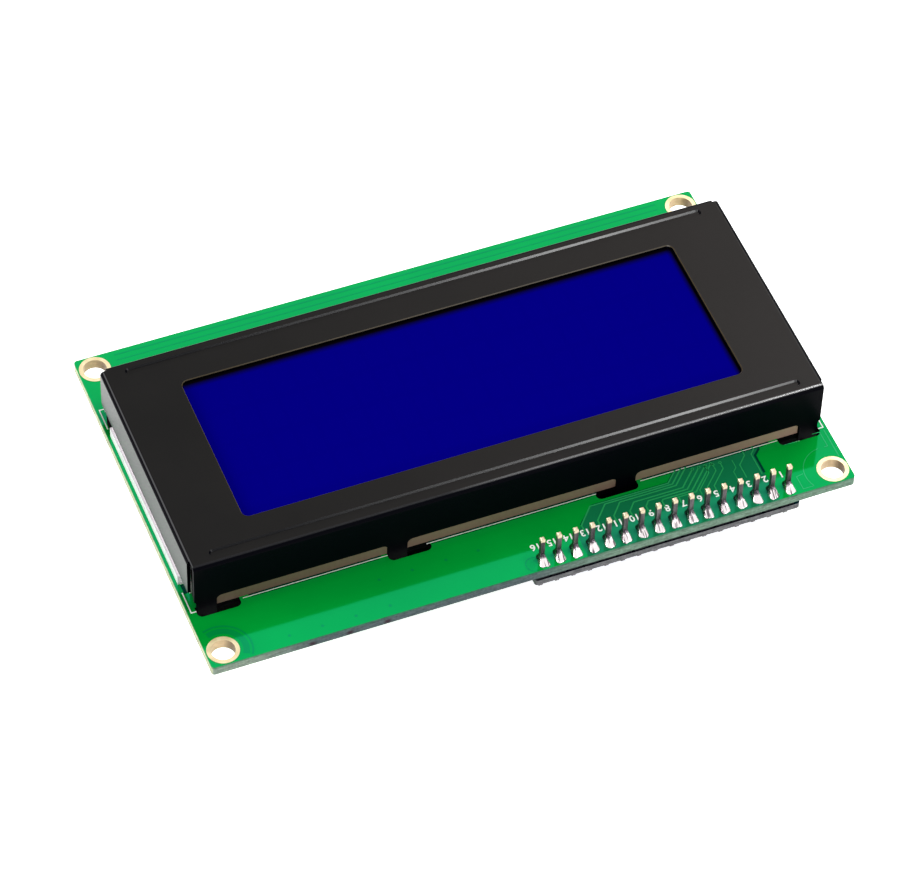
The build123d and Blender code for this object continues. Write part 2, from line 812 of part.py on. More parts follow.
bus_rows = row_along_y(bus_y, bus_pin_count)
bus_header_insulator, bus_header_pins = angled_header(adapter_left, 1, bus_rows)
finish(bus_header_insulator, "bus_header_insulator")
finish(bus_header_pins, "bus_header_pins")

jumper_rows = row_along_y(jumper_y, jumper_pin_count)
jumper_header_insulator, jumper_header_pins = angled_header(adapter_right, -1, jumper_rows)
finish(jumper_header_insulator, "jumper_header_insulator")
finish(jumper_header_pins, "jumper_header_pins")

angled_header_solder = small_joints(
    bus_tail_places + jumper_tail_places, adapter_top, tail_solder_height, square_pin_section
)
finish(angled_header_solder, "angled_header_solder")

# The jumper cap slides off along X; a folded clip inside it joins the two pins
cap_start = adapter_right + cap_seat_gap
clip_depth = angled_pin_reach - cap_seat_gap + cap_tip_gap + clip_sheet
clip_height = pin_side + 2 * clip_clearance + 2 * clip_sheet
clip_width = pitch + pin_side + 2 * clip_side_gap
cap_length = clip_depth + cap_wall
with BuildPart() as jumper_cap:
    with BuildSketch(Plane.YZ.offset(cap_start)):
        with Locations((jumper_y, angled_pin_z)):
            Rectangle(cap_width, cap_height)
    extrude(amount=cap_length)
    with BuildSketch(Plane.YZ.offset(cap_start + cap_length - grip_length)):
        with Locations((jumper_y, angled_pin_z)):
            Rectangle(cap_width, cap_height)
            Rectangle(cap_width, cap_height - 2 * grip_depth, mode=Mode.SUBTRACT)
    extrude(amount=-grip_length, mode=Mode.SUBTRACT)
    chamfer(jumper_cap.faces().sort_by(Axis.X)[-1].edges(), cap_edge_chamfer)
    with BuildSketch(Plane.YZ.offset(cap_start)):
        with Locations((jumper_y, angled_pin_z)):
            Rectangle(clip_width, clip_height)
    extrude(amount=clip_depth, mode=Mode.SUBTRACT)
finish(jumper_cap, "jumper_cap")

with BuildPart() as jumper_clip:
    with BuildSketch(Plane.YZ.offset(cap_start + 2 * clip_sheet)):
        with Locations((jumper_y, angled_pin_z)):
            Rectangle(clip_width, clip_height)
    extrude(amount=clip_depth - 2 * clip_sheet)
    with BuildSketch(Plane.YZ.offset(cap_start + 2 * clip_sheet)):
        with Locations((jumper_y, angled_pin_z)):
            Rectangle(clip_width, clip_height - 2 * clip_sheet)
    extrude(amount=clip_depth - 3 * clip_sheet, mode=Mode.SUBTRACT)
finish(jumper_clip, "jumper_clip")


def small_part_pair(places, face_z):
    """Bodies and metal ends of small parts that lie along Y under a face."""
    body_length = small_part_length - 2 * small_part_end
    with BuildPart() as bodies:
        with BuildSketch(Plane.XY.offset(face_z)):
            with Locations(*places):
                Rectangle(small_part_width, body_length)
        extrude(amount=-small_part_height)
    with BuildPart() as ends:
        with BuildSketch(Plane.XY.offset(face_z)):
            with Locations(*places):
                with GridLocations(small_part_width, body_length + small_part_end, 1, 2):
                    Rectangle(small_part_width, small_part_end)
        extrude(amount=-small_part_height)
    return bodies, ends


underside_places = [
    (underside_row_x + index * small_part_pitch, underside_row_y)
    for index in range(underside_part_count)
]
underside_resistors, underside_resistor_ends = small_part_pair(underside_places, 0)
finish(underside_resistors, "underside_resistors")
finish(underside_resistor_ends, "underside_resistor_ends")

pull_up_places = [
    (adapter_left + pull_up_from_left + index * small_part_pitch / 2, adapter_lower + pull_up_from_bottom)
    for index in range(0, 2 * pull_up_count, 2)
]
adapter_resistors, adapter_resistor_ends = small_part_pair(pull_up_places, adapter_bottom)
finish(adapter_resistors, "adapter_resistors")
finish(adapter_resistor_ends, "adapter_resistor_ends")

lamp_places = [(adapter_left + lamp_from_left, adapter_lower + lamp_from_bottom)]
power_lamp, power_lamp_ends = small_part_pair(lamp_places, adapter_bottom)
finish(power_lamp, "power_lamp")
finish(power_lamp_ends, "power_lamp_ends")

# The transistor that switches the backlight
transistor_x = adapter_right - transistor_from_right
transistor_y = adapter_lower + transistor_from_bottom
transistor_middle_z = adapter_bottom - transistor_height / 2
with BuildPart() as backlight_transistor:
    for direction in (-1, 1):
        with BuildSketch(Plane.XY.offset(transistor_middle_z)):
            with Locations((transistor_x, transistor_y)):
                Rectangle(transistor_length, transistor_width)
        extrude(amount=direction * transistor_height / 2, taper=transistor_draft)
finish(backlight_transistor, "backlight_transistor")

transistor_lead_profile = bent_lead_profile(
    transistor_width / 2, transistor_middle_z, transistor_width / 2 + transistor_lead_reach,
    transistor_lead_reach / 2, transistor_lead_thickness,
)
with BuildPart() as transistor_leads:
    for offset_x, direction in ((-transistor_lead_spacing / 2, -1), (transistor_lead_spacing / 2, -1), (0, 1)):
        side_plane = Plane(
            (transistor_x + offset_x, transistor_y, 0),
            x_dir=(0, direction, 0), z_dir=(direction, 0, 0),
        )
        with BuildSketch(side_plane):
            add(transistor_lead_profile)
        extrude(amount=transistor_lead_width / 2, both=True)
finish(transistor_leads, "transistor_leads")
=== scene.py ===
import json
import math
import random

import bmesh
import bpy
from mathutils import Matrix, Vector


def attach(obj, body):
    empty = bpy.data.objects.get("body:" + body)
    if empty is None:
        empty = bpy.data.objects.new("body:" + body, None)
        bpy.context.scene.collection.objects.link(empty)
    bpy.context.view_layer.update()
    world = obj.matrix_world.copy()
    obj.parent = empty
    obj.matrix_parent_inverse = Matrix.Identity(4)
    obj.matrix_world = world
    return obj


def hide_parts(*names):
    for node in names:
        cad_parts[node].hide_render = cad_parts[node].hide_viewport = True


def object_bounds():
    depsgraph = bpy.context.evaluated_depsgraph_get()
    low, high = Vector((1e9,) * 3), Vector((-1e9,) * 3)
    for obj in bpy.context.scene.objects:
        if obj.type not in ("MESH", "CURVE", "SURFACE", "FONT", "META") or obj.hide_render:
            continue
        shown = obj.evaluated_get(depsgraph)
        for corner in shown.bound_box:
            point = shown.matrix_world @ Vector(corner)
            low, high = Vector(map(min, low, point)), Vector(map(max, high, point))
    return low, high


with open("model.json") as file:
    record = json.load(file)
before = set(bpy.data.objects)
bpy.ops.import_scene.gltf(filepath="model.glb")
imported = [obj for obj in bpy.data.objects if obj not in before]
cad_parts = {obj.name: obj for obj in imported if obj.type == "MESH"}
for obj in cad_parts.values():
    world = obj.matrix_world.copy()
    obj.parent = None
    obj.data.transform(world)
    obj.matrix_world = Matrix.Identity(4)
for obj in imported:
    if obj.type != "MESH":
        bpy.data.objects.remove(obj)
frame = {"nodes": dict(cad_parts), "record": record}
cad_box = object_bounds()
nodes = frame["nodes"]
scene = bpy.context.scene
random.seed(16)

MM = 0.001
BOARD_TOP = 1.6
PITCH = 2.54
PIN_Y = 28.0
PIN_X = [-39.1 + PITCH * i for i in range(16)]
NEAR_BLACK = (0.004, 0.004, 0.004)


def look(location, right, down, forward):
    """Matrix of a camera from its place and its three image directions, in millimetres."""
    up = [-c for c in down]
    back = [-c for c in forward]
    rows = [[right[i], up[i], back[i], location[i] * MM] for i in range(3)]
    return Matrix(rows + [[0, 0, 0, 1]])


camera_data = bpy.data.cameras.new("camera")
camera_data.sensor_fit = "HORIZONTAL"
camera_data.sensor_width = 36.0
camera_data.lens = 180.40
camera_data.clip_start = 0.02
camera_data.clip_end = 50.0
camera = bpy.data.objects.new("camera", camera_data)
scene.collection.objects.link(camera)
camera.matrix_world = look(
    (171.53320, 397.73082, 510.54937),
    (-0.92889688, 0.36955045, 0.02414628),
    (0.26858777, 0.71713818, -0.64309676),
    (-0.25497292, -0.59088518, -0.76540415),
)
scene.camera = camera

scene.view_settings.view_transform = "Standard"


class Graph:
    """A material's nodes, with short calls for what the materials here use."""

    def __init__(self, name):
        self.material = bpy.data.materials.new(name)
        self.material.use_nodes = True
        self.tree = self.material.node_tree
        self.shader = self.tree.nodes["Principled BSDF"]
        self.coordinates = self.node("ShaderNodeTexCoord").outputs["Object"]

    def node(self, kind, **values):
        made = self.tree.nodes.new(kind)
        for key, value in values.items():
            setattr(made, key, value)
        return made

    def link(self, source, target):
        self.tree.links.new(source, target)

    def feed(self, target, value):
        """Gives a socket a constant or another node's output."""
        if isinstance(value, bpy.types.NodeSocket):
            self.link(value, target)
        elif isinstance(value, (tuple, list)) and len(value) == 3 and target.type == "RGBA":
            target.default_value = (*value, 1.0)
        else:
            target.default_value = value

    def math(self, operation, a, b=0.0):
        made = self.node("ShaderNodeMath", operation=operation)
        self.feed(made.inputs[0], a)
        self.feed(made.inputs[1], b)
        return made.outputs[0]

    def times(self, first, *others):
        """The product of all the values."""
        for other in others:
            first = self.math("MULTIPLY", first, other)
        return first

    def total(self, first, *others):
        for other in others:
            first = self.math("ADD", first, other)
        return first

    def above(self, value, limit):
        return self.math("GREATER_THAN", value, limit)

    def below(self, value, limit):
        return self.math("LESS_THAN", value, limit)

    def away(self, value, middle=0.0):
        """How far a value is from the middle, on either side."""
        if middle:
            value = self.math("SUBTRACT", value, middle)
        return self.math("ABSOLUTE", value)

    def noise(self, scale, detail=2.0, stretch=(1, 1, 1)):
        mapping = self.node("ShaderNodeMapping")
        mapping.inputs["Scale"].default_value = stretch
        self.link(self.coordinates, mapping.inputs["Vector"])
        made = self.node("ShaderNodeTexNoise")
        made.inputs["Scale"].default_value = scale
        made.inputs["Detail"].default_value = detail
        self.link(mapping.outputs["Vector"], made.inputs["Vector"])
        return made.outputs["Fac"]

    def ramp(self, value, low, high, to_low=0.0, to_high=1.0):
        made = self.node("ShaderNodeMapRange", clamp=True)
        for socket, given in zip(made.inputs, (value, low, high, to_low, to_high)):
            self.feed(socket, given)
        return made.outputs[0]

    def mix(self, share, a, b, blend="MIX"):
        made = self.node("ShaderNodeMix", data_type="RGBA", blend_type=blend)
        self.feed(made.inputs["Factor"], share)
        self.feed(made.inputs[6], a)
        self.feed(made.inputs[7], b)
        return made.outputs[2]

    def axis(self, name, vector=None):
        made = self.node("ShaderNodeSeparateXYZ")
        self.link(vector or self.coordinates, made.inputs[0])
        return made.outputs[name]

    def repeat(self, name, half, shift=1.0):
        """Runs from 0 to half and back along an axis. The shift in metres keeps it positive."""
        return self.math("PINGPONG", self.math("ADD", self.axis(name), shift), half)

    def facing(self, name, smooth=False):
        """How far the surface faces along an axis."""
        geometry = self.node("ShaderNodeNewGeometry")
        return self.axis(name, geometry.outputs["Normal" if smooth else "True Normal"])

    def level_face(self):
        """1 on faces that look up or down, and 0 on the others."""
        return self.above(self.away(self.facing("Z")), 0.5)

    def bump(self, height, strength, distance=0.00001):
        made = self.node("ShaderNodeBump")
        made.inputs["Strength"].default_value = strength
        made.inputs["Distance"].default_value = distance
        self.link(height, made.inputs["Height"])
        return made.outputs["Normal"]

    def set(self, **values):
        names = {
            "colour": "Base Color", "roughness": "Roughness", "metallic": "Metallic", "ior": "IOR",
            "specular": "Specular IOR Level", "tint": "Specular Tint", "coat": "Coat Weight",
            "coat_roughness": "Coat Roughness", "normal": "Normal", "alpha": "Alpha",
            "emission": "Emission Color", "emission_strength": "Emission Strength",
        }
        for key, value in values.items():
            self.feed(self.shader.inputs[names[key]], value)


def shaded(colour, factor):
    return tuple(min(1.0, c * factor) for c in colour)


def plain(name, colour, roughness, spread=0.12, grain=900.0, bump=0.15, **values):
    """A moulded or painted surface: fine colour variation, uneven gloss and a fine grain."""
    g = Graph(name)
    cloud = g.noise(grain / 6, 3.0)
    fine = g.noise(grain, 2.0)
    darker, lighter = shaded(colour, 1 - spread), shaded(colour, 1 + spread)
    g.set(
        colour=g.mix(g.ramp(cloud, 0.3, 0.7), darker, lighter),
        roughness=g.ramp(fine, 0.3, 0.7, roughness * 0.85, min(1.0, roughness * 1.15)),
        normal=g.bump(fine, bump),
        **values,
    )
    return g.material


def board_mask(name, colour, tint, ior, edge_colours, rim=(0.03, 0.24, 0.11), painted_gap_shade=1.0):
    """Glossy mask over copper on both faces. The sawn edges show the laminate."""
    g = Graph(name)
    face = g.level_face()
    weave = g.times(g.noise(1800.0, 1.0, (1, 0.15, 1)), g.noise(1800.0, 1.0, (0.15, 1, 1)))
    cloud = g.ramp(g.noise(60.0, 3.0), 0.35, 0.65)
    faces = g.mix(cloud, shaded(colour, 0.94), shaded(colour, 1.06))
    if painted_gap_shade < 1.0:
        # Painted shade: the upper face lies in the gap between the two boards, so its colour is
        # darkened by this factor
        faces = g.mix(g.above(g.facing("Z"), 0.5), faces, shaded(colour, painted_gap_shade))
    layers = g.noise(700.0, 4.0, (1, 1, 7))
    fibres = g.noise(2600.0, 2.0, (1, 1, 0.4))
    mottled = g.ramp(g.times(layers, g.ramp(fibres, 0.2, 0.8, 0.6, 1.0)), 0.2, 0.55, 0.35, 1.0)
    x, y, z = (g.axis(axis) for axis in "XYZ")
    left_end, left, middle, right = edge_colours
    sawn = g.mix(g.ramp(x, -12 * MM, 2 * MM), right, middle)
    sawn = g.mix(g.ramp(x, 34 * MM, 43 * MM), sawn, left)
    # Painted reflection, partly the laminate's colour: the end face that looks towards +X takes the
    # first edge colour
    sawn = g.mix(g.ramp(g.facing("X"), 0.6, 0.8), sawn, left_end)
    sawn = g.mix(g.ramp(z, 1.1 * MM, 1.55 * MM, 0.0, 0.75), sawn, rim)
    # The saw burnt three spots
    for spot in (34.2, 28.6, 23.0):
        burnt = g.times(
            g.ramp(g.away(x, spot * MM), 0.2 * MM, 0.8 * MM, 0.9, 0.0),
            g.ramp(g.away(z, 0.5 * MM), 0.2 * MM, 0.5 * MM, 1.0, 0.0),
        )
        sawn = g.mix(burnt, sawn, (0.06, 0.008, 0.03))
    # Painted shade: the sawn faces within the board's outline, the walls of the slots, are coloured
    # near black and lose their gloss
    inside = g.times(g.below(g.away(y), 24 * MM), g.below(g.away(x), 48.6 * MM))
    sawn = g.mix(inside, sawn, (0.008, 0.008, 0.009))
    g.set(
        colour=g.mix(face, g.mix(1.0, sawn, mottled, "MULTIPLY"), faces),
        roughness=g.ramp(face, 0, 1, 0.7, 0.07),
        tint=tint,
        ior=ior,
        specular=g.total(g.times(face, 0.45), g.ramp(inside, 0, 1, 0.05, 0.0)),
        normal=g.bump(weave, 0.05, 0.00002),
    )
    return g.material


# Colours of a board's sawn edges: the left end, then the near edge from left to right. The green
# board's pale left end is partly the laminate and partly a painted reflection of the white floor
GREEN_EDGES = ((0.72, 0.76, 0.50), (0.42, 0.52, 0.42), (0.142, 0.18, 0.195), (0.29, 0.44, 0.33))
GREY_EDGES = ((0.29, 0.29, 0.29),) * 4
THIN_EDGES = ((0.01, 0.20, 0.06),) * 4
mask = board_mask("mask", (0.0, 0.305, 0.03), (0.0, 0.58, 0.37), 2.6, GREEN_EDGES)
mask_soft = board_mask("mask_soft", (0.0, 0.24, 0.045), (0.0, 0.58, 0.40), 2.4, THIN_EDGES)
mask_gap = board_mask("mask_gap", (0.005, 0.17, 0.06), (0.0, 1.0, 0.6), 1.9, THIN_EDGES)
mask_line = board_mask("mask_line", (0.02, 0.36, 0.10), (0.1, 1.0, 0.5), 2.4, THIN_EDGES)
mask_dark = board_mask("mask_dark", (0.0, 0.04, 0.025), (0.1, 0.12, 0.12), 1.3, THIN_EDGES)
# The adapter's upper face gets painted shade, 0.05 of its colour, for the gap between the boards
adapter_mask = board_mask(
    "adapter_mask", (0.01, 0.03, 0.12), (0.1, 0.25, 1.0), 2.2, GREY_EDGES, (0.10, 0.10, 0.10), 0.05
)
adapter_line = board_mask("adapter_line", (0.02, 0.07, 0.24), (0.2, 0.4, 1.0), 2.2, GREY_EDGES)


def bezel_paint():
    """Black satin paint, worn smoother along bends and grooves. Painted light: the top is lighter
    towards -X, every other face a darker black, and the gloss of bends and grooves is raised mainly
    where they face +Y. The end flaps keep a gloss.
    """
    g = Graph("black_sheet")
    nx, ny, nz = (g.facing(axis, smooth=True) for axis in "XYZ")
    x = g.axis("X")
    out_x, out_y = g.away(x), g.away(g.axis("Y"))
    end = g.away(nx)
    flat = g.ramp(nz, 0.97, 0.995)
    fold_start = 18.9 * MM
    # Partly wear, partly painted highlight: grooves and the near fold get their raised gloss only
    # on faces turned towards +Y, and more towards -X
    towards_y = g.times(g.ramp(ny, 0.08, 0.2), g.ramp(end, 0.6, 0.3))
    groove = g.times(
        g.below(out_y, fold_start), g.ramp(nz, 0.35, 0.55), g.ramp(nz, 0.995, 0.97),
        g.ramp(x, 35 * MM, -10 * MM, 0.2, 1.0), g.ramp(x, -48 * MM, -28 * MM, 0.5, 1.0), towards_y,
    )
    fold = g.times(
        g.above(out_y, fold_start), g.ramp(nz, 0.78, 0.88), g.ramp(nz, 0.998, 0.985),
        g.ramp(x, 10 * MM, -20 * MM, 0.08, 1.0), towards_y,
    )
    # Painted highlight: raised gloss in a band of the bend that faces +X, for a thin light line
    # there
    left_bend_highlight = g.times(g.ramp(nx, 0.2, 0.3), g.ramp(nx, 0.55, 0.45))
    flap = g.times(g.ramp(end, 0.97, 0.99), g.ramp(out_x, 48.15 * MM, 48.25 * MM))
    gloss = g.total(
        g.times(flat, 0.026), g.times(groove, 0.13), g.times(fold, 0.34),
        g.times(left_bend_highlight, 0.2), 0.003,
    )
    # Painted light: the top's colour grows lighter towards -X, standing in for the lamp's sheen
    # there
    even = g.mix(g.ramp(x, 40 * MM, -45 * MM), (0.0016, 0.0013, 0.0011), (0.0105, 0.0086, 0.0078))
    shade = g.mix(g.ramp(g.noise(90.0, 3.0), 0.3, 0.7, 0.0, 0.12), even, (0.02, 0.017, 0.016))
    # Painted shade: every face but the flat top gets a darker, bluish black
    shade = g.mix(flat, (0.0012, 0.0013, 0.0028), shade)
    # The cut rim of the window is brown
    rim = g.times(
        g.below(out_x, 38.3 * MM), g.below(out_y, 13.4 * MM), g.ramp(nz, 0.2, 0.4),
        g.ramp(flat, 0.6, 0.4),
    )
    g.set(
        colour=g.mix(rim, shade, (0.060, 0.046, 0.026)),
        roughness=g.ramp(g.math("MAXIMUM", groove, fold), 0, 1, 0.32, 0.16),
        ior=2.6,
        specular=gloss,
        coat=g.times(flap, 0.52),
        coat_roughness=0.2,
        normal=g.bump(g.noise(5000.0, 2.0), 0.12, 0.000006),
    )
    return g.material


def screen_film():
    """Deep blue film. The cells of the characters only just show."""
    g = Graph("polarizer")
    column = g.repeat("X", 3.55 * MM / 2)
    row = g.repeat("Y", 5.95 * MM / 2)
    cell = g.times(g.ramp(column, 0.25 * MM, 0.35 * MM), g.ramp(row, 0.45 * MM, 0.55 * MM))
    blue = g.mix(cell, (0.0008, 0.0, 0.172), (0.0008, 0.0, 0.175))
    # Painted shade: the film fades to black under the far and the right-hand rim, in the rim's
    # shadow
    lit = g.times(
        g.ramp(g.axis("Y"), -12.95 * MM, -11.95 * MM), g.ramp(g.axis("X"), -37.9 * MM, -37.1 * MM)
    )
    g.set(
        colour=g.mix(lit, (0.002, 0.001, 0.004), blue),
        roughness=0.25,
        specular=0.0,
        normal=g.bump(g.noise(900.0), 0.02, 0.000005),
    )
    return g.material


def housing_plastic():
    """White plastic. Where the lip ends short of the flap it is coloured black: painted shade for
    the dark gap there.
    """
    g = Graph("housing_plastic")
    # Painted shade: black beyond the lip's end, at both ends of the housing
    gap = g.times(g.below(g.axis("Y"), -14.7 * MM), g.above(g.away(g.axis("X")), 47.4 * MM))
    cloud = g.noise(150.0, 3.0)
    white = g.mix(g.ramp(cloud, 0.3, 0.7), (0.90, 0.83, 0.87), (0.95, 0.89, 0.93))
    g.set(
        colour=g.mix(gap, white, NEAR_BLACK),
        roughness=g.ramp(g.noise(900.0), 0.3, 0.7, 0.26, 0.34),
        specular=g.ramp(gap, 0, 1, 0.5, 0.0),
        normal=g.bump(cloud, 0.1),
    )
    return g.material


def strip_rubber():
    """Fine conducting layers run across the strip, which is paler to the photo's right."""
    g = Graph("strip_rubber")
    stripe = g.repeat("X", 0.09 * MM)
    end = g.above(g.away(g.facing("X")), 0.7)
    along = g.ramp(g.axis("X"), 45 * MM, -45 * MM)
    pale = g.mix(along, (0.19, 0.125, 0.085), (0.52, 0.325, 0.245))
    deep = g.mix(along, (0.13, 0.088, 0.06), (0.39, 0.245, 0.18))
    layers = g.mix(g.ramp(stripe, 0.02 * MM, 0.07 * MM), pale, deep)
    g.set(
        colour=g.mix(end, layers, NEAR_BLACK),
        roughness=0.6,
        specular=0.2,
        normal=g.bump(stripe, 0.2, 0.00002),
    )
    return g.material


def hole_plating():
    """Pale tinned rings, with darker copper showing in the bore and painted shade on its walls that
    face +X.
    """
    g = Graph("land")
    ring = g.level_face()
    cloud = g.noise(700.0, 3.0)
    spots = g.ramp(cloud, 0.35, 0.65)
    face = g.mix(spots, (0.76, 0.62, 0.34), (0.84, 0.72, 0.46))
    bore = g.mix(spots, (0.56, 0.40, 0.21), (0.80, 0.60, 0.35))
    # Painted shade: the bore's walls that face +X are coloured dark brown
    bore = g.mix(g.ramp(g.facing("X", smooth=True), 0.35, 0.85), bore, (0.20, 0.13, 0.06))
    g.set(
        colour=g.mix(ring, bore, face),
        roughness=g.ramp(cloud, 0.3, 0.7, 0.35, 0.5),
        metallic=g.ramp(ring, 0, 1, 0.3, 0.75),
        normal=g.bump(g.noise(1800.0, 2.0), 0.2),
    )
    return g.material


def pin_metal():
    """Pins with clean, tinned tips and a dark shaft below them: the shaft's colour is a painted
    reflection of the black bezel.
    """
    g = Graph("pin_tin")
    cloud = g.noise(900.0, 3.0, (1, 1, 0.3))
    uneven = g.total(g.axis("Z"), g.times(g.math("SUBTRACT", cloud, 0.5), 0.6 * MM))
    tip = g.ramp(uneven, 5.35 * MM, 5.6 * MM)
    # Painted reflection: the shafts are coloured dark for the black bezel they mirror
    shaft = g.mix(g.ramp(cloud, 0.35, 0.65), (0.035, 0.028, 0.032), (0.13, 0.11, 0.12))
    g.set(
        colour=g.mix(tip, shaft, (0.70, 0.58, 0.40)),
        roughness=g.ramp(tip, 0, 1, 0.35, 0.3),
        metallic=g.ramp(tip, 0, 1, 0.85, 0.6),
        normal=g.bump(g.noise(1800.0, 2.0), 0.2),
    )
    return g.material


def soldered():
    """Bright solder, with flow marks and a small eye. Round the pin's top and behind the pin it is
    coloured dark: a painted reflection of the black bezel and painted shade.
    """
    g = Graph("mound_solder")
    streak = g.noise(3600.0, 2.0, (1, 0.1, 0.1))
    # Painted reflection and shade: dark behind the pin and round its upper part
    back = g.math(
        "MAXIMUM",
        g.ramp(g.axis("Y"), 28.15 * MM, 27.85 * MM), g.ramp(g.axis("Z"), 2.4 * MM, 2.7 * MM),
    )
    across = g.times(g.repeat("X", PITCH / 2 * MM, (10 * PITCH - PIN_X[0]) * MM), 1000)
    along = g.times(g.math("SUBTRACT", g.axis("Y"), 28.52 * MM), 1000)
    from_eye = g.total(g.times(across, across), g.times(along, along))
    eye = g.ramp(from_eye, 0.014, 0.030, 1.0, 0.0)
    dark = g.math("MAXIMUM", g.math("MAXIMUM", g.ramp(streak, 0.53, 0.61), back), eye)
    front = g.mix(dark, (0.95, 0.87, 0.88), (0.16, 0.13, 0.15))
    g.set(
        colour=g.mix(back, front, (0.06, 0.05, 0.06)),
        roughness=g.ramp(g.noise(2500.0, 2.0), 0.3, 0.7, 0.14, 0.30),
        metallic=0.9,
        normal=g.bump(streak, 0.35, 0.00005),
    )
    return g.material


def metal(name, dull, bright, roughness, grain, bump):
    g = Graph(name)
    cloud = g.noise(grain / 3, 3.0)
    fine = g.noise(grain, 2.0)
    g.set(
        colour=g.mix(g.ramp(cloud, 0.3, 0.7), dull, bright),
        roughness=g.ramp(fine, 0.3, 0.7, roughness * 0.7, roughness * 1.4),
        metallic=1.0,
        normal=g.bump(fine, bump),
    )
    return g.material


solder = metal("solder", (0.72, 0.66, 0.67), (0.95, 0.89, 0.90), 0.12, 2500.0, 0.3)
mound_solder = soldered()
rubber = strip_rubber()
white_plastic = plain("white_plastic", (0.96, 0.92, 0.95), 0.3, 0.03, coat=0.5)
black_resin_gloss = plain("black_resin_gloss", (0.012, 0.012, 0.012), 0.2, 0.3, 700.0, 0.1)
black_plastic = plain("black_plastic", (0.010, 0.010, 0.011), 0.4, 0.2, 1600.0, 0.2, specular=0.12)
ink = plain("ink", (0.82, 0.84, 0.80), 0.5, 0.05, 3000.0, 0.2)

by_slot = {
    "solder_mask": mask,
    "adapter_mask": adapter_mask,
    "tin": metal("tin", (0.72, 0.68, 0.60), (0.90, 0.86, 0.77), 0.16, 1500.0, 0.12),
    "black_sheet": bezel_paint(),
    "cell_glass": plain("cell_glass", (0.03, 0.04, 0.2), 0.04, 0.05, bump=0.01),
    "polarizer": screen_film(),
    "strip_rubber": rubber,
    "white_plastic": white_plastic,
    "clear_plastic": plain("clear_plastic", (0.75, 0.78, 0.8), 0.08, 0.02, bump=0.02),
    "lamp_resin": plain("lamp_resin", (0.75, 0.62, 0.16), 0.25, 0.08),
    "black_resin": plain("black_resin", (0.018, 0.018, 0.018), 0.42, 0.25, 2200.0, 0.3),
    "black_plastic": black_plastic,
    "blue_plastic": plain("blue_plastic", (0.012, 0.11, 0.5), 0.32, 0.08),
    "rotor_plastic": plain("rotor_plastic", (0.80, 0.79, 0.75), 0.4, 0.04),
    "chip_ceramic": plain("chip_ceramic", (0.02, 0.02, 0.022), 0.12, 0.2, 1500.0, 0.1),
}
by_node = {
    "mounting_hole_lands": hole_plating(),
    "backlight_housing": housing_plastic(),
    "header_pins": pin_metal(),
    "header_front_solder": solder,
    "header_rear_solder": solder,
    "backlight_solder": solder,
    "trimmer_solder": solder,
    "angled_header_solder": solder,
}
for part in frame["record"]["subparts"]:
    name = part["node"]
    chosen = by_node.get(name, by_slot[part["material_slot"]])
    nodes[name].data.materials.clear()
    nodes[name].data.materials.append(chosen)


def add(name, mesh, material):
    """Puts a mesh in the scene as a piece that rides on the module."""
    mesh.materials.append(material)
    made = bpy.data.objects.new(name, mesh)
    scene.collection.objects.link(made)
    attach(made, "module")
    return made


def piece(name, verts, faces, material, smooth=False):
    """A new piece from points in millimetres."""
    mesh = bpy.data.meshes.new(name)
    mesh.from_pydata([tuple(c * MM for c in v) for v in verts], [], faces)
    mesh.polygons.foreach_set("use_smooth", [smooth] * len(mesh.polygons))
    return add(name, mesh, material)


def angles(sides):
    return [2 * math.pi * i / sides for i in range(sides)]


def band(lower, upper, sides):
    """The quads between two rings of points, given by the number of each ring's first point."""
    turns = [(i, (i + 1) % sides) for i in range(sides)]
    return [[lower + i, lower + j, upper + j, upper + i] for i, j in turns]


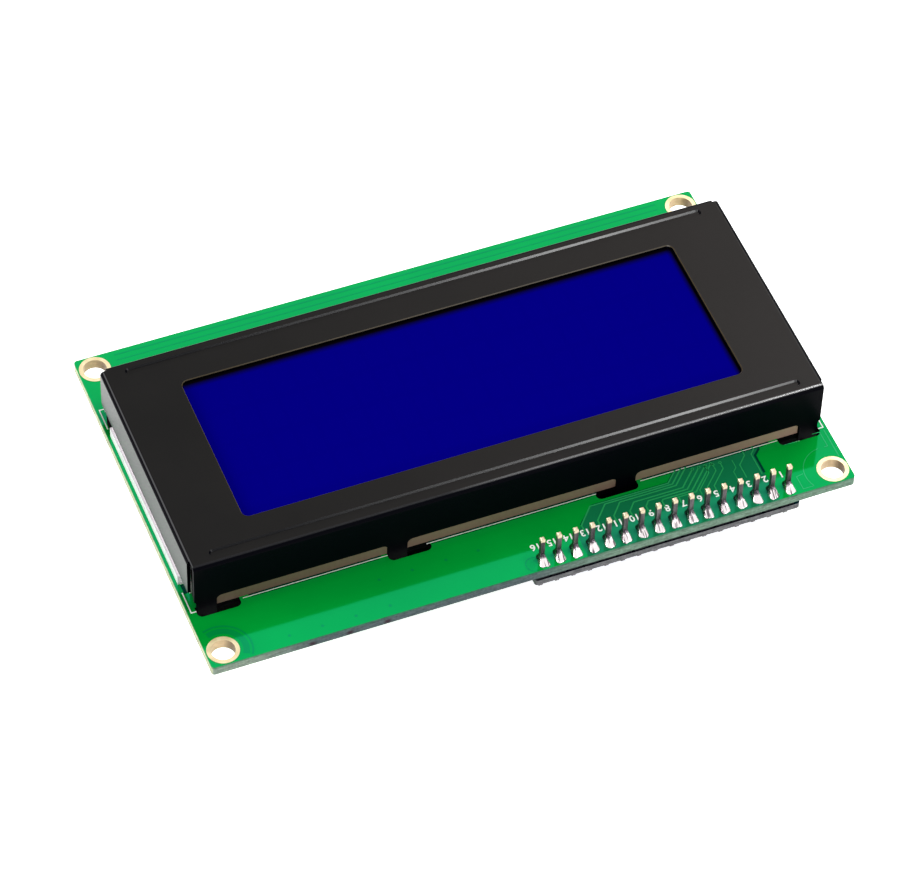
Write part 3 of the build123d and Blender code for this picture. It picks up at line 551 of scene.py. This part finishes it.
class Shapes:
    """Collects closed solids for one piece."""

    def __init__(self):
        self.verts, self.faces = [], []

    def prism(self, outline, low, high):
        """A flat plate with the outline given counterclockwise."""
        n, base = len(outline), len(self.verts)
        self.verts += [(x, y, low) for x, y in outline] + [(x, y, high) for x, y in outline]
        self.faces.append(list(range(base + n - 1, base - 1, -1)))
        self.faces.append(list(range(base + n, base + 2 * n)))
        self.faces += band(base, base + n, n)

    def block(self, x0, y0, x1, y1, low, high):
        self.prism([(x0, y0), (x1, y0), (x1, y1), (x0, y1)], low, high)

    def pad(self, x, y, half_x, half_y, low, high):
        self.block(x - half_x, y - half_y, x + half_x, y + half_y, low, high)

    def ribbon(self, points, width, low, high):
        """A flat strip along a bent line, with mitred corners."""
        points = [Vector(p) for p in points]
        sides = []
        for i, p in enumerate(points):
            before = (p - points[i - 1]).normalized() if i else (points[1] - p).normalized()
            after = (points[i + 1] - p).normalized() if i + 1 < len(points) else before
            across = Vector((-before.y - after.y, before.x + after.x)).normalized()
            half = width / 2 / max(0.35, across.dot(Vector((-before.y, before.x))))
            sides.append((p + across * half, p - across * half))
        outline = [tuple(b) for a, b in sides] + [tuple(a) for a, b in reversed(sides)]
        self.prism(outline, low, high)

    def border(self, x0, y0, x1, y1, width, low, high):
        """A rectangle's outline, as four strips that meet at the corners."""
        half = width / 2
        self.ribbon([(x0 - half, y0), (x1 + half, y0)], width, low, high)
        self.ribbon([(x0 - half, y1), (x1 + half, y1)], width, low, high)
        self.ribbon([(x0, y0 + half), (x0, y1 - half)], width, low, high)
        self.ribbon([(x1, y0 + half), (x1, y1 - half)], width, low, high)

    def disc(self, x, y, radius, low, high):
        turn = angles(20)
        self.prism([(x + radius * math.cos(a), y + radius * math.sin(a)) for a in turn], low, high)

    def ring(self, x, y, outer, inner, low, high, sides):
        """A flat ring, as a closed tube of four bands."""
        base = len(self.verts)
        for radius, z in ((inner, low), (outer, low), (outer, high), (inner, high)):
            for a in angles(sides):
                self.verts.append((x + radius * math.cos(a), y + radius * math.sin(a), z))
        for k in range(4):
            self.faces += band(base + k * sides, base + (k + 1) % 4 * sides, sides)

    def make(self, name, material, slot):
        made = piece(name, self.verts, self.faces, material)
        mesh = bmesh.new()
        mesh.from_mesh(made.data)
        bmesh.ops.recalc_face_normals(mesh, faces=mesh.faces)
        mesh.to_mesh(made.data)
        mesh.free()
        return made


def arc(x, y, radius, start, end):
    """Points along an arc, with its angles in degrees."""
    steps = 14
    turns = [math.radians(start + (end - start) * i / steps) for i in range(steps + 1)]
    return [(x + radius * math.cos(a), y + radius * math.sin(a)) for a in turns]


def photo_side(points):
    """Points given with X to the photo's right and Y away from the camera, in the part's frame."""
    return [(-x, -y) for x, y in points]


def scanned(*points):
    """Points measured on a top view of the near strip, at 40 to the millimetre."""
    return [(-(2 + column / 40.0), 19 + row / 40.0) for column, row in points]


# Thin layers on the board start a little inside its face and end at one of these heights
SUNK = BOARD_TOP - 0.01
GAP_TOP = BOARD_TOP + 0.006
FOOT_TOP = BOARD_TOP + 0.008
SPOT_TOP = BOARD_TOP + 0.01
MARK_TOP = BOARD_TOP + 0.012
INK_TOP = BOARD_TOP + 0.02
LINE_TOP = BOARD_TOP + 0.03

# Where the copper is left away round the signal lines, the board is darker
gaps = Shapes()
gaps.prism(
    scanned(
        (265, 215), (375, 105), (850, 105), (905, 50), (905, 20), (1450, 20), (1450, 45),
        (1400, 92), (1400, 440), (215, 440), (215, 265),
    ),
    SUNK, GAP_TOP,
)
gaps.make("board_bare_fields", mask_gap, "solder_mask")

# Signal lines from the pins: seven bend along the bezel, three are short, and three stand apart
lines = Shapes()


def trace(width, *points):
    lines.ribbon(scanned(*points), width, SUNK, LINE_TOP)


def via(column, row):
    x, y = scanned((column, row))[0]
    lines.ring(x, y, 0.26, 0.12, SUNK, LINE_TOP, 16)


bends = ((105, 850), (120, 870), (137, 885), (165, 915), (185, 935), (205, 955), (220, 975))
for i, (shelf, bend) in enumerate(bends):
    start = 265 + 100 * i
    rise = min(110, 215 - shelf) * 0.9
    last = 30 if i < 3 else 62
    trace(
        0.22, (start, 265), (start, max(shelf + 3, 217)), (start + rise, shelf), (bend, shelf),
        (bend + shelf - last, last),
    )
    if i >= 3:
        via(bend + shelf - 58, 58)
for start in (1000, 1045, 1090):
    trace(0.17, (start, 250), (start, 215), (start + 100, 115), (start + 100, 78))
    via(start + 100, 68)
trace(0.16, (1290, 225), (1290, 125), (1345, 68), (1345, 20))
trace(0.16, (1384, 230), (1384, 74), (1410, 48), (1410, 20))
trace(0.12, (1236, 225), (1236, 160), (1262, 134), (1262, 76))
lines.make("board_lines", mask_line, "solder_mask")

# Keep-out arc round the near right hole, and the seams of the copper by the board's end
seams = Shapes()
for width, points in (
    (0.12, arc(46.5, -27.5, 4.25, 96, 206)),
    (0.12, [(47.05, -23.3), (47.6, -23.3), (47.6, -20.5), (46.4, -20.5)]),
    (0.12, [(42.6, -29.4), (41.0, -29.4), (41.0, -27.0), (42.1, -26.8)]),
    (0.16, [(48.35, -20.3), (48.35, -25.6)]),
):
    seams.ribbon(photo_side(points), width, SUNK, INK_TOP)
seams.make("copper_seams", mask_line, "solder_mask")

edges = Shapes()
edges.ribbon(scanned((1402, 225), (1402, 90), (1445, 48)), 0.34, SUNK, MARK_TOP)
edges.ribbon(scanned((260, 213), (371, 100), (848, 100), (903, 45)), 0.18, SUNK, MARK_TOP)
edges.make("board_dark_marks", mask_dark, "solder_mask")

# Soft marks in the mask: arcs at the near left hole, spots, and lines along the far edge
soft = Shapes()
for radius, width in ((4.2, 0.3), (3.3, 0.9)):
    soft.ribbon(photo_side(arc(-46.5, -27.5, radius, -30, 112)), width, SUNK, SPOT_TOP)
soft.ribbon(photo_side(arc(-0.3, -28.6, 1.25, 20, 290)), 0.14, SUNK, MARK_TOP)
for y, row in ((28.35, (37.0, 32.1, 27.1, 22.0)), (23.5, (21.8, 16.8, 11.7, 6.8))):
    for x in row:
        soft.disc(x, y, 0.24, SUNK, SPOT_TOP)
soft.ribbon([(43.0, -29.15), (-43.0, -29.15)], 0.22, SUNK, MARK_TOP)
soft.ribbon([(43.0, -28.1), (-43.0, -28.1)], 0.16, SUNK, MARK_TOP)
soft.make("board_soft_marks", mask_soft, "solder_mask")

# Painted shade: dark strips on the board under the walls' feet and under the end flaps' lower
# corners, and a thin painted shadow line on the +Y side of the near outline
foot = Shapes()
for y in (-19.48, 19.48):
    for start, end in ((-39.9, -20.0), (-12.9, 12.9), (20.0, 39.9)):
        foot.ribbon([(start, y), (end, y)], 0.5, SUNK, FOOT_TOP)
for start, end in ((-39.0, -22.0), (-12.0, 12.5), (20.5, 39.5)):
    foot.ribbon([(start, 20.0), (end, 20.0)], 0.12, SUNK, FOOT_TOP)
for x in (-47.95, 47.95):
    foot.ribbon([(x, 14.6), (x, 16.3)], 0.62, SUNK, FOOT_TOP)
foot.make("wall_foot_painted_shade", mask_dark, "solder_mask")

# White ink: the bezel's outline, broken at the slots, with an angle mark at each corner
OUTLINE_Y = 19.83
outline = Shapes()
for y in (-OUTLINE_Y, OUTLINE_Y):
    for start, end in ((-41.2, -19.7), (-12.8, 13.2), (19.1, 40.8)):
        outline.ribbon([(start, y), (end, y)], 0.11, SUNK, INK_TOP)
for sx in (-1, 1):
    for sy in (-1, 1):
        corner = [(47.7, OUTLINE_Y), (48.45, OUTLINE_Y), (48.45, 16.0)]
        outline.ribbon([(sx * x, sy * y) for x, y in corner], 0.17, SUNK, INK_TOP)
outline.make("silk_outline", ink, "solder_mask")

# The contact strips bulge out under the walls, between the legs
bulge = Shapes()
for near, far in ((-19.48, -19.0), (19.0, 19.48)):
    for start, end in ((-44.5, -19.05), (-15.95, 15.95), (19.05, 44.5)):
        bulge.block(start, near, end, far, SUNK, 3.55)
bulge.make("contact_strip_bulges", rubber, "strip_rubber")

# The backlight housing's lip stands out a little beyond the end flaps
lip = Shapes()
for x in (-48.33, 48.33):
    lip.block(x - 0.2, -14.7, x + 0.2, 14.4, SUNK, 3.4)
lip.make("housing_lip_edges", white_plastic, "white_plastic")


def pin_numbers():
    """The header's numbers, 1 to 16, as thin plates of ink."""
    height, cap_share = 1.12, 0.7
    whole = bmesh.new()
    for i, x in enumerate(PIN_X):
        curve = bpy.data.curves.new("digits", "FONT")
        curve.body = str(i + 1)
        curve.align_x = "CENTER"
        curve.align_y = "CENTER"
        curve.size = height * MM / cap_share
        curve.extrude = 0.012 * MM
        curve.offset = 0.03 * MM
        curve.resolution_u = 3
        holder = bpy.data.objects.new("digits", curve)
        scene.collection.objects.link(holder)
        bpy.context.view_layer.update()
        shown = holder.evaluated_get(bpy.context.evaluated_depsgraph_get())
        mesh = bpy.data.meshes.new_from_object(shown)
        bpy.data.objects.remove(holder)
        mesh.transform(Matrix.Translation((x * MM, 25.75 * MM, FOOT_TOP * MM)))
        whole.from_mesh(mesh)
    bmesh.ops.remove_doubles(whole, verts=whole.verts, dist=1e-8)
    mesh = bpy.data.meshes.new("silk_numbers")
    whole.to_mesh(mesh)
    whole.free()
    add("silk_numbers", mesh, ink)


pin_numbers()


def solder_mounds():
    """Joints drawn up round the pins, each with a fluted skirt towards the board's edge."""
    verts, faces = [], []
    sides, rings = 48, 12
    for x in PIN_X:
        base = len(verts)
        lean = random.uniform(-0.08, 0.08)
        phase = random.uniform(0, 6.28)
        count = random.choice((7, 8, 9))
        depth = random.uniform(0.03, 0.06)
        height = random.uniform(1.35, 1.5)
        for k in range(rings + 1):
            share = k / rings
            z = BOARD_TOP + 0.02 + height * share
            draw = (1 - share) ** 1.35
            for a in angles(sides):
                c, d = math.cos(a), math.sin(a)
                front = max(0.0, d)
                half_x = 0.34 + (0.46 * max(front, -0.7 * d) ** 0.5 + 0.05) * draw
                half_y = 0.36 + (1.40 if d > 0 else 0.62) * draw
                power = 4.5 if d > 0 else 2.2
                r = (abs(c / half_x) ** power + abs(d / half_y) ** power) ** (-1 / power)
                wave = math.sin(count * a + phase) * min(1.0, 2.2 * (1 - share))
                flute = 1 + depth * front ** 0.5 * wave
                verts.append((x + r * c * flute + lean * draw * front, PIN_Y + r * d * flute, z))
        for k in range(rings):
            faces += band(base + k * sides, base + (k + 1) * sides, sides)
        faces.append([base + i for i in reversed(range(sides))])
        faces.append([base + rings * sides + i for i in range(sides)])
    made = piece("header_mounds", verts, faces, mound_solder, smooth=True)
    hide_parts("header_front_solder")


solder_mounds()


def insulator_row():
    """The header's plastic strip: a row of eight-sided blocks joined at their flats."""
    blocks = Shapes()
    reach, cut = 0.72, 0.28
    for i, x in enumerate(PIN_X):
        left, right = x - PITCH / 2 + 0.02, x + PITCH / 2 - 0.02
        blocks.prism([
            (left + cut, PIN_Y - reach), (right - cut, PIN_Y - reach), (right, PIN_Y - reach + cut),
            (right, PIN_Y + reach - cut), (right - cut, PIN_Y + reach), (left + cut, PIN_Y + reach),
            (left, PIN_Y + reach - cut), (left, PIN_Y - reach + cut),
        ], -2.08, -0.02)
        if i:
            blocks.pad(x - PITCH / 2, PIN_Y, 0.1, 0.4, -1.9, -0.2)
    made = blocks.make("insulator_blocks", black_plastic, "black_plastic")
    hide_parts("header_insulator")


insulator_row()

CHIP_X = (-29.0, 0.0, 29.0)
CHIP_Y = -3.0


def resin_domes():
    """Poured resin: a low dome with an uneven rim."""
    verts, faces = [], []
    sides, rings = 72, 12
    radius = 7.5
    for centre in CHIP_X:
        base = len(verts)
        phases = [random.uniform(0, 6.28) for _ in range(4)]
        for k in range(rings):
            share = k / rings
            for a in angles(sides):
                wave = sum(math.sin((n + 2) * a + p) for n, p in enumerate(phases)) * 0.012
                r = radius * (1 - share) * (0.975 + wave * (1 - share))
                z = -1.38 * (1 - (1 - share) ** 2.6) ** 0.62
                verts.append((centre + r * math.cos(a), CHIP_Y + r * math.sin(a), z))
        verts.append((centre, CHIP_Y, -1.39))
        for k in range(rings - 1):
            faces += band(base + (k + 1) * sides, base + k * sides, sides)
        last, top = base + (rings - 1) * sides, base + rings * sides
        faces += [[last + (i + 1) % sides, last + i, top] for i in range(sides)]
        faces.append([base + i for i in range(sides)])
    made = piece("resin_domes", verts, faces, black_resin_gloss, smooth=True)
    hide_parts("sealed_chips")


resin_domes()


def small_cones(name, places, face_z, height, node):
    """Smooth concave cones of solder round the ends of pins, on a face that looks down."""
    verts, faces = [], []
    sides, rings = 28, 9
    wide, narrow = 0.74, 0.38
    for x, y in places:
        base = len(verts)
        phase = random.uniform(0, 6.28)
        for k in range(rings + 1):
            share = k / rings
            radius = narrow + (wide - narrow) * (1 - share) ** 2.2
            for a in angles(sides):
                r = radius * (1 + 0.03 * math.sin(3 * a + phase) * (1 - share))
                verts.append((x + r * math.cos(a), y + r * math.sin(a), face_z - height * share))
        for k in range(rings):
            faces += band(base + (k + 1) * sides, base + k * sides, sides)
        faces.append([base + i for i in range(sides)])
        faces.append([base + rings * sides + i for i in reversed(range(sides))])
    made = piece(name, verts, faces, solder, smooth=True)
    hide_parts(node)


small_cones("rear_joints", [(x, PIN_Y) for x in PIN_X], -3.1, 0.78, "header_rear_solder")
small_cones("lamp_joints", [(45.9, -2.54), (45.9, 2.54)], 0.0, 0.58, "backlight_solder")

# The underside: a printed ring round each sealed chip, with traces that end in two rings of
# pads, then eight lines along the far edge, the resistors, and the outline of the lamp's leads
PADS_ROUND_CHIP = 52
REAR_INK = (-0.018, 0.005)
REAR_LINE = (-0.012, 0.005)
copper, pads, printed = Shapes(), Shapes(), Shapes()
for centre in CHIP_X:
    printed.ring(centre, CHIP_Y, 8.15, 7.95, *REAR_INK, 72)
    for i in range(PADS_ROUND_CHIP):
        a = 2 * math.pi * (i + 0.5) / PADS_ROUND_CHIP
        far = 9.3 + 1.1 * (i % 2)
        near_end, far_end = (
            (centre + r * math.cos(a), CHIP_Y + r * math.sin(a)) for r in (7.6, far)
        )
        copper.ribbon([near_end, far_end], 0.16, *REAR_LINE)
        pads.ring(*far_end, 0.3, 0.14, *REAR_INK, 16)
for i in range(8):
    y, inset = -15.2 - 0.6 * i, 0.5 * i
    bus = [(-38.0 + inset, -13.6), (-36.4 + inset, y), (36.4 - inset, y), (38.0 - inset, -13.6)]
    copper.ribbon(bus, 0.2, *REAR_LINE)
for x in (24.0, 27.2, 30.4, 33.6, 36.8, 40.0):
    printed.border(x - 1.05, 12.45, x + 1.05, 15.55, 0.15, *REAR_INK)
    for y in (12.95, 15.05):
        pads.pad(x, y, 0.72, 0.35, *REAR_INK)
    copper.ribbon([(x, 12.5), (x, 10.9), (x - 1.2, 9.6)], 0.2, *REAR_LINE)
    copper.ribbon([(x, 15.5), (x, 17.4), (x + 1.0, 18.4)], 0.2, *REAR_LINE)
printed.border(43.9, -4.2, 47.7, 4.2, 0.18, *REAR_INK)
copper.make("rear_traces", mask_line, "solder_mask")
pads.make("rear_pads", solder, "tin")
printed.make("rear_print", ink, "solder_mask")

# The adapter's face that carries its parts: pads and traces at the chip's leads, six bare pads
# that set the address, the resistors' pads, and the printed outlines of the parts
DECK = -3.1
DECK_INK = (DECK - 0.02, DECK + 0.005)
DECK_LINE = (DECK - 0.014, DECK + 0.005)
copper, pads, printed = Shapes(), Shapes(), Shapes()
for i in range(8):
    x = -19.455 - 1.2714 * i
    for y in (22.0, 12.2):
        pads.pad(x, y, 0.33, 0.75, *DECK_INK)
    copper.ribbon(
        [(x, 22.6), (x, 23.1), (x - 0.9, 25.9 - 0.1 * i), (x - 1.0, 27.4)], 0.2, *DECK_LINE
    )
    copper.ribbon([(x, 11.6), (x, 11.0), (x + 0.5, 10.5)], 0.2, *DECK_LINE)
for x in (-35.4, -33.6, -31.8):
    for y in (11.4, 12.9):
        pads.pad(x, y, 0.5, 0.5, *DECK_INK)
    printed.border(x - 0.72, 10.65, x + 0.72, 13.65, 0.14, *DECK_INK)
for x in (-33.1, -29.9, -26.7):
    printed.border(x - 1.0, 23.05, x + 1.0, 25.95, 0.14, *DECK_INK)
    for y in (23.45, 25.55):
        pads.pad(x, y, 0.7, 0.3, *DECK_INK)
printed.border(-29.4, 13.2, -18.4, 21.0, 0.15, *DECK_INK)
printed.disc(-18.0, 20.4, 0.28, *DECK_INK)
printed.border(-13.2, 14.4, -5.8, 21.8, 0.15, *DECK_INK)
printed.border(-40.9, 26.5, -0.1, 28.7, 0.15, *DECK_INK)
printed.border(-38.95, 11.2, -36.85, 13.8, 0.14, *DECK_INK)
for x in (-1.4, -14.6):
    printed.ring(x, 12.0, 0.75, 0.6, *DECK_INK, 24)
copper.make("adapter_traces", adapter_line, "adapter_mask")
pads.make("adapter_pads", solder, "tin")
printed.make("adapter_print", ink, "adapter_mask")


def stage_floor():
    """A white floor that shows a soft shadow, with a painted shadow under the near slots; from
    below it lets the underside be seen.
    """
    z = cad_box[0].z - 0.0001
    side = 3.0
    mesh = bpy.data.meshes.new("floor")
    corners = [(-side, -side, z), (side, -side, z), (side, side, z), (-side, side, z)]
    mesh.from_pydata(corners, [], [(0, 1, 2, 3)])
    made = bpy.data.objects.new("floor", mesh)
    scene.collection.objects.link(made)
    g = Graph("floor")
    path = g.node("ShaderNodeLightPath")
    seen = g.math("MAXIMUM", path.outputs["Is Camera Ray"], path.outputs["Is Glossy Ray"])
    # Painted shadow: under the near slots the floor is coloured near black and gives no light, so
    # that they don't shine through
    unshadowed_floor = g.math(
        "MAXIMUM",
        g.ramp(g.away(g.axis("X"), -3 * MM), 49.0 * MM, 50.0 * MM),
        g.ramp(g.away(g.axis("Y"), 13.1 * MM), 1.3 * MM, 4.0 * MM),
    )
    g.set(
        colour=g.mix(unshadowed_floor, NEAR_BLACK, (0.86, 0.86, 0.86)),
        roughness=1.0,
        specular=0.0,
        emission=(1.0, 1.0, 1.0),
        emission_strength=g.times(seen, unshadowed_floor, 0.9),
        alpha=g.math("SUBTRACT", 1.0, g.node("ShaderNodeNewGeometry").outputs["Backfacing"]),
    )
    mesh.materials.append(g.material)


stage_floor()


def white_world(strength):
    """An even light, and plain white where camera, glossy and transmission rays see it."""
    world = bpy.data.worlds.new("world")
    scene.world = world
    world.use_nodes = True
    tree = world.node_tree
    tree.nodes.clear()
    path = tree.nodes.new("ShaderNodeLightPath")
    seen = path.outputs["Is Camera Ray"]
    for ray in ("Is Glossy Ray", "Is Transmission Ray"):
        either = tree.nodes.new("ShaderNodeMath")
        either.operation = "MAXIMUM"
        tree.links.new(seen, either.inputs[0])
        tree.links.new(path.outputs[ray], either.inputs[1])
        seen = either.outputs[0]
    choice = tree.nodes.new("ShaderNodeMixShader")
    tree.links.new(seen, choice.inputs["Fac"])
    for socket, level in ((1, strength), (2, 1.0)):
        white = tree.nodes.new("ShaderNodeBackground")
        white.inputs["Color"].default_value = (1, 1, 1, 1)
        white.inputs["Strength"].default_value = level
        tree.links.new(white.outputs[0], choice.inputs[socket])
    output = tree.nodes.new("ShaderNodeOutputWorld")
    tree.links.new(choice.outputs[0], output.inputs["Surface"])


white_world(0.3)


def lamp(name, place, aim, width, height, radiance):
    """A soft panel lamp of a given brightness."""
    data = bpy.data.lights.new(name, "AREA")
    data.shape = "RECTANGLE"
    data.size = width
    data.size_y = height
    data.energy = radiance * math.pi * width * height
    made = bpy.data.objects.new(name, data)
    scene.collection.objects.link(made)
    made.location = place
    made.rotation_euler = (Vector(aim) - Vector(place)).to_track_quat("-Z", "Y").to_euler()


lamp("top_panel", (-0.575, 0.045, 1.1), (0, 0, 0), 0.55, 0.16, 32.0)
lamp("front_panel", (-0.53, 0.85, 0.31), (0, 0, 0), 0.5, 0.16, 10.0)
lamp("left_panel", (1.2, -0.35, 0.4), (0, 0, 0), 0.9, 0.6, 9.0)
lamp("right_back_panel", (-0.35, -0.21, 0.35), (-0.03, 0, 0), 0.18, 0.18, 8.5)
